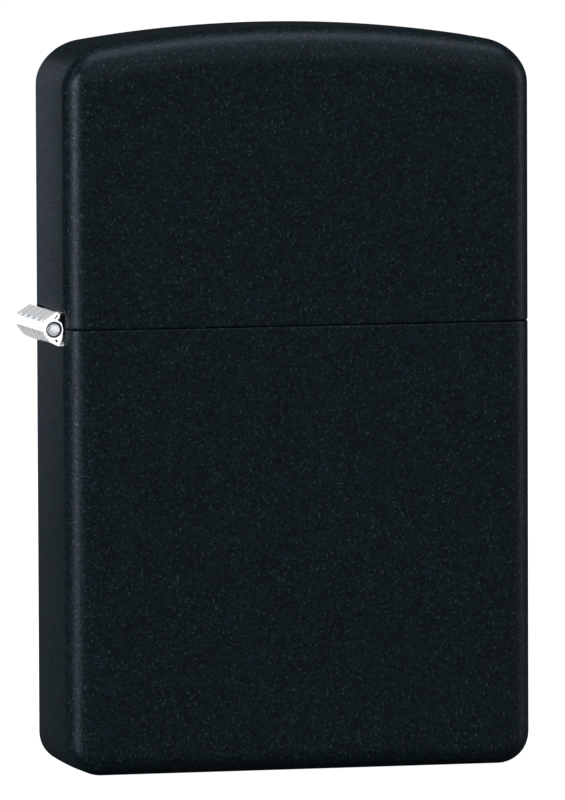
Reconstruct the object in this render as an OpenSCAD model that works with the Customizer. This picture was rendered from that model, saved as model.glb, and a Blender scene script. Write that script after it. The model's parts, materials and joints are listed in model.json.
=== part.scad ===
// Windproof petrol lighter: a drawn sheet-metal case with a flip-top lid, and the
// fuel insert that slides up into it. Millimetres, +Z up, closed lid. The origin is
// the centre of the flat bottom, the hinge is on the -X side and -Y is the front.

/* [Case] */
// Width of the case between its side planes, without the hinge
case_w = 37; // [36.9:0.05:37.5]
// Depth of the case between its front and back faces
case_d = 12.7; // [12.6:0.05:13.2]
// Height of the closed case
case_h = 57.15; // [57:0.05:58]
// Height of the line where the lid meets the body
split_z = 34.25; // [34:0.05:34.6]
// Thickness of the drawn sheet
wall = 0.7; // [0.6:0.05:0.7]
// Radius of the arc across the top of the lid, seen from the front
crown_r = 98; // [90:1:120]
// Radius of the lid's upper corners, seen from the front
lid_corner_r = 3.3; // [2.8:0.1:3.8]
// Radius of the body's lower corners, seen from the front
base_corner_r = 2.7; // [2:0.1:3.2]
// Radius of the four upright edges
edge_r = 2.1; // [1.6:0.1:2.2]
// Radius along the top of the front and back faces
top_edge_r = 2.6; // [2:0.1:3]
// Radius along the bottom of the front and back faces
base_edge_r = 1.4; // [1:0.1:2]
// Gap between the rims of the lid and the body
rim_gap = 0.12; // [0.1:0.01:0.2]

/* [Hinge] */
// Length of the five knuckles together
hinge_len = 9.4; // [8.6:0.1:9.6]
// Outer radius of a knuckle's curl
knuckle_r = 0.85; // [0.8:0.01:0.9]
// How far the flares of a knuckle reach above and below the pin
flare_h = 1.27; // [1.2:0.01:1.3]
// How far the hinge axis stands outside the side plane
hinge_out = 0.6; // [0.58:0.01:0.65]
// Diameter of the hinge pin
pin_d = 1.1; // [1:0.05:1.2]
// Thickness of the hinge leaves
leaf_t = 0.3; // [0.25:0.05:0.3]
// How far each leaf reaches along the inside of the wall
leaf_h = 8; // [6:0.5:10]

/* [Insert] */
// Width of the fuel tank
tank_w = 34.7; // [34.4:0.05:34.7]
// Depth of the fuel tank
tank_d = 11; // [10.8:0.05:11.1]
// How far the tank's shoulder stands above the body's rim
shoulder_up = 1.2; // [1.1:0.05:1.3]
// Thickness of the insert's sheet
sheet = 0.45; // [0.35:0.05:0.45]
// Width of the chimney around the wick
chimney_w = 17.5; // [17.3:0.1:17.5]
// Depth of the chimney
chimney_d = 9.6; // [9.2:0.1:9.8]
// Height of the chimney above the shoulder
chimney_h = 15.2; // [14.6:0.1:15.4]
// Diameter of the air holes in the chimney
air_hole_d = 2.2; // [1.8:0.1:2.4]

/* [Ignition] */
// Diameter of the flint wheel over its teeth
wheel_d = 7.8; // [7.4:0.1:7.8]
// Width of the flint wheel's toothed rim
wheel_w = 5.4; // [5:0.1:5.6]
// Number of teeth around the flint wheel
wheel_teeth = 36; // [24:1:48]
// Diameter of the flint
flint_d = 2.4; // [2.2:0.1:2.5]
// Length of the flint
flint_len = 5; // [4:0.5:6]
// Outside diameter of the flint tube
tube_d = 3.2; // [3.2:0.05:3.3]
// Inside diameter of the flint tube
tube_bore = 2.7; // [2.7:0.05:2.8]
// Diameter of the wick
wick_d = 3; // [2.6:0.1:3]
// Thickness of the cam
cam_t = 2.6; // [2.4:0.1:2.6]

/* [Hidden] */
$fn = 96;
EPS = 0.01;

// Case
rim_z = split_z - rim_gap / 2;
lid_rim_z = split_z + rim_gap / 2;

// Hinge: knuckles 1, 3 and 5 belong to the body, 2 and 4 to the lid
hinge_x = -case_w / 2 - hinge_out;
knuckle_gap = 0.08;
knuckles = 5;
knuckle_len = hinge_len / knuckles;
leaf_w = 8.2;
leaf_x = -case_w / 2 + wall;
lip_down = 0.3;
flare_x = 0.42;
notch_half = norm([flare_x, flare_h]) + 0.05;
notch_end_gap = 0.15;
pin_grip = 0.01;
pin_run = 0.05;

// Insert
tank_x = 0.1;
tank_z = 1.8;
tank_r = 1.7;
shoulder_z = split_z + shoulder_up;
chimney_x = -1.45;
chimney_r = 3.6;
chimney_top = shoulder_z + chimney_h;
plate_t = 0.5;
plate_z = shoulder_z - sheet - plate_t;
plate_w = 26.5;
plate_d = 9.8;
plate_x = 1.75;
plate_r = 2;
ear_t = 0.45;
ear_rise = 0.6;
air_row_z = [4.1, 7.6, 11.1];
air_pitch = 4.6;
spark_slot_w = 4.8;
spark_slot_z = 7;
slot_reach = 3;

// Cam
cam_x = hinge_x + 8.2;
cam_z = split_z + 3.9;
cam_boss_r = 1.7;
cam_pin_d = 1.5;
cam_side_gap = 0.2;
cam_ear_half = cam_t / 2 + cam_side_gap;
cam_slot_h = 6.6;
toe_notch_w = 5.1;
toe_notch_h = 3;
toe_notch_down = 0.8;
cam_spring_t = 0.25;
cam_spring_w = 2.2;
cam_spring_half = 1.3;
cam_spring_tip_x = 1.5;
cam_spring_tip_down = 2.4;
spring_rivet_x = -5.2;
rivet_head_d = 2.4;
rivet_head_t = 0.35;
rivet_relief_d = 3;

// Flint wheel
wheel_x = 11.6;
wheel_z = split_z + 10.7;
tooth_depth = 0.45;
wheel_hub_r = 2.3;
wheel_hub_w = 5.9;
wheel_ear_half = 3.1;
wheel_ear_r = 2.6;
wheel_pin_d = 2;
wheel_head_d = 3.6;
wheel_head_t = 0.5;

// Flint and its spring
flint_gap = 0.1;
flint_top = wheel_z - wheel_d / 2 - flint_gap;
plunger_head = 1;
plunger_stem_d = 1.2;
plunger_stem = 1.8;
spring_top = flint_top - flint_len - plunger_head;
spring_d = 2.3;
spring_bore = 1.5;
screw_head_d = 5;
screw_head_z = 1.6;
screw_head_t = 1.2;
screw_top = 8.2;
screw_slot_w = 0.8;
screw_slot_depth = 0.5;
tube_z = 3;
flint_proud = 0.3;
tube_top = flint_top - flint_proud;

// Wick and packing
wick_x = -0.5;
wick_z = 4;
wick_top = shoulder_z + 9.2;
felt_h = 1.8;
felt_clear = 0.3;
cotton_count = 5;
cotton_z = tank_z + felt_h + 0.1;
cotton_gap = 0.14;
cotton_pitch = (plate_z - 0.1 - cotton_z) / cotton_count;

// ---- Shared shapes ----

// A rectangle about the origin with round corners.
module round_rect(w, h, r) {
    square([w - 2 * r, h], center = true);
    square([w, h - 2 * r], center = true);
    for (x = [-1, 1], y = [-1, 1])
        translate([x * (w / 2 - r), y * (h / 2 - r)]) circle(r = r);
}

// Lays an outline drawn in X and Z along Y, from y0 to y1.
module along_y(y0, y1) {
    translate([0, y1, 0]) rotate([90, 0, 0]) linear_extrude(y1 - y0) children();
}

// A round bar along Y through the point x, z.
module bar_y(x, z, d, y0, y1) {
    translate([x, y1, z]) rotate([90, 0, 0]) cylinder(d = d, h = y1 - y0);
}

// A round bar along Z.
module bar_z(x, d, z0, z1) {
    translate([x, 0, z0]) cylinder(d = d, h = z1 - z0);
}

// The case seen from the front: a crowned top that runs into round corners.
module front_outline(inset) {
    w = case_w - 2 * inset;
    base_r = base_corner_r - inset;
    lid_r = lid_corner_r - inset;
    crown = crown_r - inset;
    crown_z = case_h - crown_r;
    corner_x = w / 2 - lid_r;
    corner_z = crown_z + sqrt(pow(crown - lid_r, 2) - pow(corner_x, 2));
    reach = 1.1 * crown / (crown - lid_r);
    translate([-w / 2, inset + base_r]) square([w, corner_z - inset - base_r]);
    translate([base_r - w / 2, inset]) square([w - 2 * base_r, base_r]);
    for (x = [-1, 1]) {
        translate([x * (w / 2 - base_r), inset + base_r]) circle(r = base_r);
        translate([x * corner_x, corner_z]) circle(r = lid_r);
    }
    intersection() {
        translate([0, crown_z]) circle(r = crown, $fn = 4 * $fn);
        polygon([
            [-corner_x, corner_z - 1],
            [-corner_x, corner_z],
            [-corner_x * reach, crown_z + (corner_z - crown_z) * reach],
            [corner_x * reach, crown_z + (corner_z - crown_z) * reach],
            [corner_x, corner_z],
            [corner_x, corner_z - 1]
        ]);
    }
}

// The case seen from the side.
module side_outline(inset) {
    d = case_d - 2 * inset;
    base_r = base_edge_r - inset;
    top_r = top_edge_r - inset;
    top = case_h - inset;
    translate([-d / 2, inset + base_r]) square([d, top - top_r - inset - base_r]);
    translate([base_r - d / 2, inset]) square([d - 2 * base_r, base_r]);
    translate([top_r - d / 2, top - top_r]) square([d - 2 * top_r, top_r]);
    for (y = [-1, 1]) {
        translate([y * (d / 2 - base_r), inset + base_r]) circle(r = base_r);
        translate([y * (d / 2 - top_r), top - top_r]) circle(r = top_r);
    }
}

// The whole closed case as a solid, moved in from its surface by inset.
module case_block(inset) {
    intersection() {
        linear_extrude(case_h) round_rect(case_w - 2 * inset, case_d - 2 * inset, edge_r - inset);
        along_y(-case_d, case_d) front_outline(inset);
        rotate([90, 0, 90]) translate([0, 0, -case_w]) linear_extrude(2 * case_w) side_outline(inset);
    }
}

// The sheet shell of the case between two heights, with the notch for the hinge.
module case_shell(z0, z1) {
    difference() {
        intersection() {
            case_block(0);
            translate([-case_w, -case_d, z0]) cube([2 * case_w, 2 * case_d, z1 - z0]);
        }
        case_block(wall);
        translate([leaf_x - 2 * wall, -hinge_len / 2 - notch_end_gap, split_z - notch_half])
            cube([3 * wall, hinge_len + 2 * notch_end_gap, 2 * notch_half]);
    }
}

// One hinge knuckle, flared towards the case, with the strip that joins it to its
// leaf. up is 1 for the lid and -1 for the body.
module knuckle(index, up, play) {
    y0 = -hinge_len / 2 + index * knuckle_len + knuckle_gap / 2;
    len = knuckle_len - knuckle_gap;
    strip_z = up * (flare_h - leaf_t / 2);
    difference() {
        union() {
            bar_y(hinge_x, split_z, 2 * knuckle_r, y0, y0 + len);
            translate([hinge_x, 0, split_z]) along_y(y0, y0 + len) for (side = [-1, 1])
                polygon([
                    [0, 0],
                    [-knuckle_r / sqrt(2), side * knuckle_r / sqrt(2)],
                    [0, side * flare_h],
                    [flare_x, side * flare_h],
                    [flare_x, 0]
                ]);
            translate([hinge_x, y0, split_z + strip_z - leaf_t / 2])
                cube([leaf_x + leaf_t - hinge_x, len, leaf_t]);
        }
        bar_y(hinge_x, split_z, pin_d + 2 * play, y0 - 1, y0 + len + 1);
    }
}

// ---- Case and hinge ----

module case_body() {
    color("#1c2427") case_shell(-1, rim_z);
}

module case_lid() {
    color("#262f33") case_shell(lid_rim_z, case_h + 1);
}

module body_hinge_leaf() {
    top = split_z - flare_h + leaf_t;
    color("silver") {
        for (i = [0, 2, 4]) knuckle(i, -1, pin_grip);
        translate([leaf_x, -leaf_w / 2, top - leaf_h]) cube([leaf_t, leaf_w, leaf_h]);
    }
}

module lid_hinge_leaf() {
    bottom = split_z + flare_h - leaf_t;
    color("silver") {
        for (i = [1, 3]) {
            knuckle(i, 1, pin_run);
            translate([leaf_x, -hinge_len / 2 + i * knuckle_len + knuckle_gap / 2, split_z - lip_down])
                cube([leaf_t, knuckle_len - knuckle_gap, lip_down + flare_h]);
        }
        translate([leaf_x, -leaf_w / 2, bottom]) cube([leaf_t, leaf_w, leaf_h]);
    }
}

module hinge_pin() {
    color("gray") bar_y(hinge_x, split_z, pin_d, -hinge_len / 2, hinge_len / 2);
}

// ---- Insert ----

module chimney_outline(inset) {
    round_rect(chimney_w - 2 * inset, chimney_d - 2 * inset, chimney_r - inset);
}

// The eight air holes through each wide face: rows of three, two and three.
module air_holes() {
    for (row = [0:2]) {
        count = row == 1 ? 2 : 3;
        for (i = [0:count - 1])
            bar_y(chimney_x + (i - (count - 1) / 2) * air_pitch, shoulder_z + air_row_z[row],
                air_hole_d, -chimney_d, chimney_d);
    }
}

// A pair of ears that carries a rivet, from the chimney wall at x0.
module ears(x0, x, z, r, half) {
    side = x > x0 ? 1 : -1;
    difference() {
        along_y(-half - ear_t, half + ear_t) {
            translate([x, z]) circle(r = r);
            polygon([
                [x0, shoulder_z - sheet / 2],
                [x0, z + r + ear_rise],
                [x, z + r],
                [x + side * r, z],
                [x + side * r, shoulder_z - sheet / 2]
            ]);
        }
        along_y(-half, half)
            translate([min(x0, x + side * r) - 1, shoulder_z])
                square([abs(x - x0) + r + 2, z + r + 2 - shoulder_z]);
    }
}

module tank_sheet() {
    difference() {
        translate([tank_x, 0, tank_z])
            linear_extrude(shoulder_z - tank_z) round_rect(tank_w, tank_d, tank_r);
        translate([tank_x, 0, tank_z - 1]) linear_extrude(shoulder_z - sheet - tank_z + 1)
            round_rect(tank_w - 2 * sheet, tank_d - 2 * sheet, tank_r - sheet);
    }
}

module insert_shell() {
    color("lightgray") difference() {
        union() {
            tank_sheet();
            translate([chimney_x, 0, shoulder_z - sheet / 2])
                linear_extrude(chimney_h + sheet / 2) chimney_outline(0);
            ears(chimney_x + chimney_w / 2 - 1, wheel_x, wheel_z, wheel_ear_r, wheel_ear_half);
            ears(chimney_x - chimney_w / 2 + sheet / 2, cam_x, cam_z, cam_boss_r, cam_ear_half);
        }
        translate([chimney_x, 0, shoulder_z - 2 * sheet])
            linear_extrude(chimney_h + 3 * sheet) chimney_outline(sheet);
        air_holes();
        bar_y(wheel_x, wheel_z, wheel_pin_d + 2 * pin_grip, -tank_d, tank_d);
        bar_y(cam_x, cam_z, cam_pin_d + 2 * pin_grip, -tank_d, tank_d);
        bar_z(wheel_x, tube_d + 2 * pin_run, shoulder_z - 2, shoulder_z + 1);
        // window that lets the sparks through to the wick
        translate([chimney_x + chimney_w / 2 - 2, -spark_slot_w / 2, shoulder_z + spark_slot_z])
            cube([slot_reach, spark_slot_w, chimney_h]);
        // slot for the cam's heel
        translate([chimney_x - chimney_w / 2 - 1, -cam_ear_half, shoulder_z])
            cube([slot_reach, 2 * cam_ear_half, cam_slot_h]);
        // notch for the cam's toe
        translate([hinge_x, -cam_ear_half, split_z - toe_notch_down])
            cube([toe_notch_w, 2 * cam_ear_half, toe_notch_h]);
    }
}

module insert_plate() {
    color("darkgray") difference() {
        translate([plate_x, 0, plate_z]) linear_extrude(plate_t) round_rect(plate_w, plate_d, plate_r);
        bar_z(wick_x, wick_d + 2 * pin_run, plate_z - 1, shoulder_z);
        bar_z(wheel_x, tube_d + 2 * pin_run, plate_z - 1, shoulder_z);
        bar_z(spring_rivet_x, cam_pin_d + 2 * pin_grip, plate_z - 1, shoulder_z);
    }
}

module cam() {
    heel = cam_boss_r + 0.5;
    color("slategray") difference() {
        along_y(-cam_t / 2, cam_t / 2) translate([cam_x, cam_z]) {
            circle(r = cam_boss_r);
            polygon([
                [0, cam_boss_r],
                [-3.6, 0.8],
                [-6.2, -1.2],
                [-6.4, -3.1],
                [-5.4, -3.5],
                [-3, -2.5],
                [-0.3, -1.6],
                [heel, -1.5],
                [heel, -0.6]
            ]);
        }
        bar_y(cam_x, cam_z, cam_pin_d + 2 * pin_run, -cam_t, cam_t);
    }
}

module rivet_y(x, z, d, head_d, head_t, half) {
    bar_y(x, z, d, -half - head_t / 2, half + head_t / 2);
    for (side = [-1, 1])
        bar_y(x, z, head_d, min(side * half, side * (half + head_t)),
            max(side * half, side * (half + head_t)));
}

module cam_rivet() {
    color("silver") rivet_y(cam_x, cam_z, cam_pin_d, rivet_head_d, rivet_head_t,
        cam_ear_half + ear_t);
}

module cam_spring() {
    base_z = shoulder_z - sheet;
    right = spring_rivet_x + cam_spring_half;
    bend = spring_rivet_x - cam_spring_half;
    tip = cam_x + cam_spring_tip_x;
    tip_z = cam_z - cam_spring_tip_down;
    color("steelblue") difference() {
        along_y(-cam_spring_w / 2, cam_spring_w / 2) polygon([
            [right, base_z],
            [right, base_z + cam_spring_t],
            [bend, base_z + cam_spring_t],
            [tip, tip_z],
            [tip, tip_z - cam_spring_t],
            [bend, base_z]
        ]);
        bar_z(spring_rivet_x, cam_pin_d + 2 * pin_grip, base_z - 1, base_z + 1);
    }
}

module spring_rivet() {
    color("silver") {
        bar_z(spring_rivet_x, cam_pin_d, plate_z - rivet_head_t / 2, shoulder_z);
        bar_z(spring_rivet_x, rivet_head_d, plate_z - rivet_head_t, plate_z);
        bar_z(spring_rivet_x, rivet_head_d, shoulder_z - sheet + cam_spring_t,
            shoulder_z - sheet + cam_spring_t + rivet_head_t);
    }
}

// ---- Ignition ----

module flint_wheel() {
    color("dimgray") difference() {
        union() {
            bar_y(wheel_x, wheel_z, wheel_d, -wheel_w / 2, wheel_w / 2);
            bar_y(wheel_x, wheel_z, 2 * wheel_hub_r, -wheel_hub_w / 2, wheel_hub_w / 2);
        }
        bar_y(wheel_x, wheel_z, wheel_pin_d + 2 * pin_run, -wheel_w, wheel_w);
        for (i = [0:wheel_teeth - 1])
            translate([wheel_x, 0, wheel_z]) rotate([0, i * 360 / wheel_teeth, 0])
                along_y(-wheel_w, wheel_w) polygon([
                    [wheel_d / 2 - tooth_depth, 0],
                    [wheel_d / 2 + EPS, -tooth_depth / 4],
                    [wheel_d / 2 + EPS, tooth_depth]
                ]);
    }
}

module wheel_rivet() {
    color("silver")
        rivet_y(wheel_x, wheel_z, wheel_pin_d, wheel_head_d, wheel_head_t, wheel_ear_half + ear_t);
}

module flint_tube() {
    color("goldenrod") difference() {
        bar_z(wheel_x, tube_d, tube_z, tube_top);
        bar_z(wheel_x, tube_bore, tube_z - 1, tube_top + 1);
    }
}

module flint() {
    color("black") bar_z(wheel_x, flint_d, flint_top - flint_len, flint_top);
}

module plunger_tip() {
    color("goldenrod") {
        bar_z(wheel_x, flint_d, spring_top, spring_top + plunger_head);
        bar_z(wheel_x, plunger_stem_d, spring_top - plunger_stem, spring_top + plunger_head / 2);
    }
}

module flint_spring() {
    color("steelblue") difference() {
        bar_z(wheel_x, spring_d, screw_top, spring_top);
        bar_z(wheel_x, spring_bore, screw_top - 1, spring_top + 1);
    }
}

module flint_screw() {
    color("goldenrod") difference() {
        union() {
            bar_z(wheel_x, screw_head_d, screw_head_z, screw_head_z + screw_head_t);
            bar_z(wheel_x, tube_bore - 2 * pin_run, screw_head_z + screw_head_t / 2, screw_top);
        }
        translate([wheel_x - screw_head_d, -screw_slot_w / 2, screw_head_z - 1])
            cube([2 * screw_head_d, screw_slot_w, 1 + screw_slot_depth]);
    }
}

// ---- Wick and packing ----

module wick() {
    color("tan") bar_z(wick_x, wick_d, wick_z, wick_top);
}

// A layer of the packing, as high as its share of the tank.
module packing_layer(z, h) {
    difference() {
        translate([tank_x, 0, z]) linear_extrude(h)
            round_rect(tank_w - 2 * sheet - felt_clear, tank_d - 2 * sheet - felt_clear, tank_r - sheet);
        children();
    }
}

module felt_pad() {
    color("dimgray") packing_layer(tank_z, felt_h)
        bar_z(wheel_x, screw_head_d + 2 * felt_clear, tank_z - 1, tank_z + felt_h + 1);
}

module cotton(index) {
    z = cotton_z + (index - 1) * cotton_pitch;
    color("ivory") packing_layer(z, cotton_pitch - cotton_gap) {
        bar_z(wheel_x, tube_d + 2 * pin_run, z - 1, z + cotton_pitch);
        bar_z(wick_x, wick_d + 2 * pin_run, z - 1, z + cotton_pitch);
        bar_z(spring_rivet_x, rivet_relief_d, plate_z - 2 * rivet_head_t, shoulder_z);
    }
}

case_body();
case_lid();
body_hinge_leaf();
lid_hinge_leaf();
hinge_pin();
insert_shell();
insert_plate();
cam();
cam_rivet();
cam_spring();
spring_rivet();
flint_wheel();
wheel_rivet();
flint_tube();
flint();
plunger_tip();
flint_spring();
flint_screw();
wick();
felt_pad();
cotton(1);  // cotton_1
cotton(2);  // cotton_2
cotton(3);  // cotton_3
cotton(4);  // cotton_4
cotton(5);  // cotton_5
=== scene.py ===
"""Looks of a closed flip-top petrol lighter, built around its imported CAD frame.

Lengths are worked out in millimetres from the frame's own boxes and turned into metres
when a mesh is made. +Z is up, the hinge is at -X and the front face is at -Y.
"""
import json
import math

import bmesh
import bpy
from mathutils import Matrix, Vector, noise

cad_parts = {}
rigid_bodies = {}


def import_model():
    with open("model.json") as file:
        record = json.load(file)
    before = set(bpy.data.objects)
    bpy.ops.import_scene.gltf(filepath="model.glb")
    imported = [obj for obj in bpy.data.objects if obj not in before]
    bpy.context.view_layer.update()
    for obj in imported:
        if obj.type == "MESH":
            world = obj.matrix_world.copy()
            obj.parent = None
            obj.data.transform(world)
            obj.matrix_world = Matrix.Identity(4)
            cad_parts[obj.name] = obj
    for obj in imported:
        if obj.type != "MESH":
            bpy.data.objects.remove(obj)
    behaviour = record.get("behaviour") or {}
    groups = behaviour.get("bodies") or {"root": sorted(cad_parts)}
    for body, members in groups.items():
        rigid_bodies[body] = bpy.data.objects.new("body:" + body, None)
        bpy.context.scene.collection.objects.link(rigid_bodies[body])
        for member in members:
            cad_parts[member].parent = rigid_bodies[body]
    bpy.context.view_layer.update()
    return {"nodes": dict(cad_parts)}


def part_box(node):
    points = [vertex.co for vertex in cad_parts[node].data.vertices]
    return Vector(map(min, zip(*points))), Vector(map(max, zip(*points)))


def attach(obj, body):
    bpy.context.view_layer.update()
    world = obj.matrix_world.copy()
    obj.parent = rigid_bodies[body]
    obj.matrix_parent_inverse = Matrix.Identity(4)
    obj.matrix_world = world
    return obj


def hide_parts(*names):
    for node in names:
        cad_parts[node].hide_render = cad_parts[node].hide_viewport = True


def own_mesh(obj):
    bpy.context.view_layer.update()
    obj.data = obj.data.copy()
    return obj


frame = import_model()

MM = 0.001


# ---- Sizes, read from the frame, in millimetres ----

def node_box(node):
    """The lowest and highest corners of a CAD node, in millimetres."""
    low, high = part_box(node)
    return Vector(low) / MM, Vector(high) / MM


BODY_LOW, BODY_HIGH = node_box("case_body")
LID_LOW, LID_HIGH = node_box("case_lid")
CASE_W = BODY_HIGH.x - BODY_LOW.x
CASE_D = BODY_HIGH.y - BODY_LOW.y
CASE_H = LID_HIGH.z
SPLIT_Z = (BODY_HIGH.z + LID_LOW.z) / 2
PIN_LOW, PIN_HIGH = node_box("hinge_pin")
PIN_X = (PIN_LOW.x + PIN_HIGH.x) / 2
HINGE_LEN = PIN_HIGH.y - PIN_LOW.y
SHELL_LOW, SHELL_HIGH = node_box("insert_shell")
PLATE_TOP = node_box("insert_plate")[1].z
WHEEL_LOW, WHEEL_HIGH = node_box("flint_wheel")
AXLE_LOW, AXLE_HIGH = node_box("wheel_rivet")
CAM_LOW, CAM_HIGH = node_box("cam")
PIVOT_LOW, PIVOT_HIGH = node_box("cam_rivet")
TUBE_LOW, TUBE_HIGH = node_box("flint_tube")
SPRING_LOW, SPRING_HIGH = node_box("flint_spring")
SCREW_LOW, SCREW_HIGH = node_box("flint_screw")
WICK_LOW, WICK_HIGH = node_box("wick")
WHEEL_X = (WHEEL_LOW.x + WHEEL_HIGH.x) / 2
WHEEL_Z = (AXLE_LOW.z + AXLE_HIGH.z) / 2
CAM_X = (PIVOT_LOW.x + PIVOT_HIGH.x) / 2
CAM_Z = (PIVOT_LOW.z + PIVOT_HIGH.z) / 2
WICK_X = (WICK_LOW.x + WICK_HIGH.x) / 2

# the drawn case: its wall, the crown of its top, its upright edges and its domed sides
WALL = 0.7
CROWN_R = 98
EDGE_R = 2.1
SIDE_R = 70
# the rims: how round they are, and how far each stops short of the split
RIM_R = 0.12
RIM_CLEAR = 0.015
# the hinge's notch in each rim: half its length, and its height
NOTCH_END_GAP = 0.15
NOTCH_Y = HINGE_LEN / 2 + NOTCH_END_GAP
NOTCH_Z = 1.39
# the sheet of the insert, and the level of its shoulder
SHEET = 0.45
SHOULDER_Z = PLATE_TOP + SHEET

# how far a cutting tool runs past what it cuts
PAST = 1


# ---- Mesh helpers ----

MERGE_METRES = 1e-7
AXIS_R = 0.02


def mesh_piece(name, points, faces, material, smooth_deg=40):
    """A mesh object from points in millimetres, shaded smooth up to an angle."""
    mesh = bpy.data.meshes.new(name)
    mesh.from_pydata([Vector(p) * MM for p in points], [], faces)
    work = bmesh.new()
    work.from_mesh(mesh)
    bmesh.ops.remove_doubles(work, verts=work.verts, dist=MERGE_METRES)
    bmesh.ops.dissolve_degenerate(work, edges=work.edges, dist=MERGE_METRES)
    bmesh.ops.recalc_face_normals(work, faces=work.faces)
    work.to_mesh(mesh)
    work.free()
    piece = bpy.data.objects.new(name, mesh)
    bpy.context.scene.collection.objects.link(piece)
    finish_mesh(piece, material, smooth_deg)
    return piece


def finish_mesh(piece, material, smooth_deg=40):
    """Gives a mesh its material and smooth shading with sharp edges above an angle."""
    piece.data.materials.clear()
    piece.data.materials.append(material)
    piece.data.shade_smooth()
    piece.data.set_sharp_from_angle(angle=math.radians(smooth_deg))


def apply_modifiers(piece):
    """Applies the modifiers of a piece and returns it."""
    graph = bpy.context.evaluated_depsgraph_get()
    mesh = bpy.data.meshes.new_from_object(piece.evaluated_get(graph))
    piece.modifiers.clear()
    piece.data = mesh
    return piece


def bevel(piece, width, segments=3, angle=35):
    """Rounds the sharp edges of a piece by width millimetres."""
    mod = piece.modifiers.new("bevel", "BEVEL")
    mod.width = width * MM
    mod.segments = segments
    mod.limit_method = "ANGLE"
    mod.angle_limit = math.radians(angle)
    return apply_modifiers(piece)


def flat_faces(piece):
    """Keeps large faces flat in the shading, with all the turning in the small ones."""
    weighted = piece.modifiers.new("weighted", "WEIGHTED_NORMAL")
    weighted.mode = "FACE_AREA"
    weighted.weight = 100
    weighted.keep_sharp = True
    return apply_modifiers(piece)


def finished(piece, smooth_deg=40):
    """Shades a piece again after its edges were rounded."""
    finish_mesh(piece, piece.data.materials[0], smooth_deg)
    return flat_faces(piece)


def strip_face(low, high, j, count):
    """The face at j between two rings of count points, whose points start at low and high."""
    k = (j + 1) % count
    return low + j, low + k, high + k, high + j


def skin(rings, closed=False):
    """Points and faces of a skin over rings of points, with flat ends unless closed."""
    count = len(rings[0])
    points = [p for ring in rings for p in ring]
    faces = []
    for level in range(len(rings) if closed else len(rings) - 1):
        low, high = level * count, (level + 1) % len(rings) * count
        faces += [strip_face(low, high, j, count) for j in range(count)]
    if not closed:
        faces.append(tuple(range(count)))
        faces.append(tuple(range((len(rings) - 1) * count, len(rings) * count)))
    return points, faces


def bar(axis, outline, low, high):
    """A closed bar: its outline is in X and Y along Z, in X and Z along Y, or in Y and Z
    along X."""
    places = {"z": lambda u, v, h: (u, v, h), "y": lambda u, v, h: (u, h, v),
              "x": lambda u, v, h: (h, u, v)}
    return skin([[places[axis](u, v, h) for u, v in outline] for h in (low, high)])


def round_rect(width, depth, radius, x=0, y=0, steps=8):
    """The outline of a rectangle with round corners."""
    outline = []
    for quarter, (side_x, side_y) in enumerate(((1, 1), (-1, 1), (-1, -1), (1, -1))):
        for step in range(steps + 1):
            angle = math.pi / 2 * (quarter + step / steps)
            outline.append((x + side_x * (width / 2 - radius) + radius * math.cos(angle),
                            y + side_y * (depth / 2 - radius) + radius * math.sin(angle)))
    return outline


def box_outline(left, right, low, high):
    """The outline of a plain rectangle."""
    return [(left, low), (right, low), (right, high), (left, high)]


def circle(radius, x, z, count=48):
    """The outline of a circle."""
    turns = [2 * math.pi * i / count for i in range(count)]
    return [(x + radius * math.cos(turn), z + radius * math.sin(turn)) for turn in turns]


def turned(axis, profile, x, z=0, closed=False, count=64):
    """A turned solid: profile is a list of (radius, place along the axis), and a point
    on the axis itself becomes a tiny ring."""
    rings = []
    for radius, along in profile:
        outline = circle(max(radius, AXIS_R), x, z, count)
        rings.append([(u, v, along) if axis == "z" else (u, along, v) for u, v in outline])
    return skin(rings, closed)


def domed(radius, base, rise, out, steps=5):
    """The profile of a domed head of a rivet, from its rim at base to its top."""
    turns = [math.pi / 2 * i / steps for i in range(steps + 1)]
    return [(radius * math.cos(turn), base + out * rise * math.sin(turn)) for turn in turns]


def combine(piece, tools, operation="DIFFERENCE"):
    """Cuts solids from a piece, or joins them to it, and shades it again."""
    material = piece.data.materials[0]
    for points, faces in tools:
        tool = mesh_piece("tool", points, faces, material)
        mod = piece.modifiers.new("combine", "BOOLEAN")
        mod.operation = operation
        mod.solver = "EXACT"
        mod.object = tool
        apply_modifiers(piece)
        bpy.data.objects.remove(tool)
    finish_mesh(piece, material)
    return piece


def install(piece, body, slot, *nodes):
    """Says which body a piece rides on and the CAD nodes it stands for; slot, its finish, is not used."""
    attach(piece, body)
    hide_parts(*nodes)
    return piece


# ---- The case: rings of points lofted from the cap to the rim and back inside ----

SIDE_STEPS = 12
FRONT_STEPS = 40
CORNER_STEPS = 7
SIDE_TURN = math.asin((CASE_D / 2 - EDGE_R) / (SIDE_R - EDGE_R))
NOTCH_TURN = math.asin((NOTCH_Y - (CASE_D / 2 - EDGE_R)) / EDGE_R)
NOTCH_SHARE = (NOTCH_TURN - SIDE_TURN) / (math.pi / 2 - SIDE_TURN)
CORNER_SHARES = [0, NOTCH_SHARE / 2, NOTCH_SHARE] + [
    NOTCH_SHARE + (1 - NOTCH_SHARE) * i / CORNER_STEPS for i in range(1, CORNER_STEPS + 1)]


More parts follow.
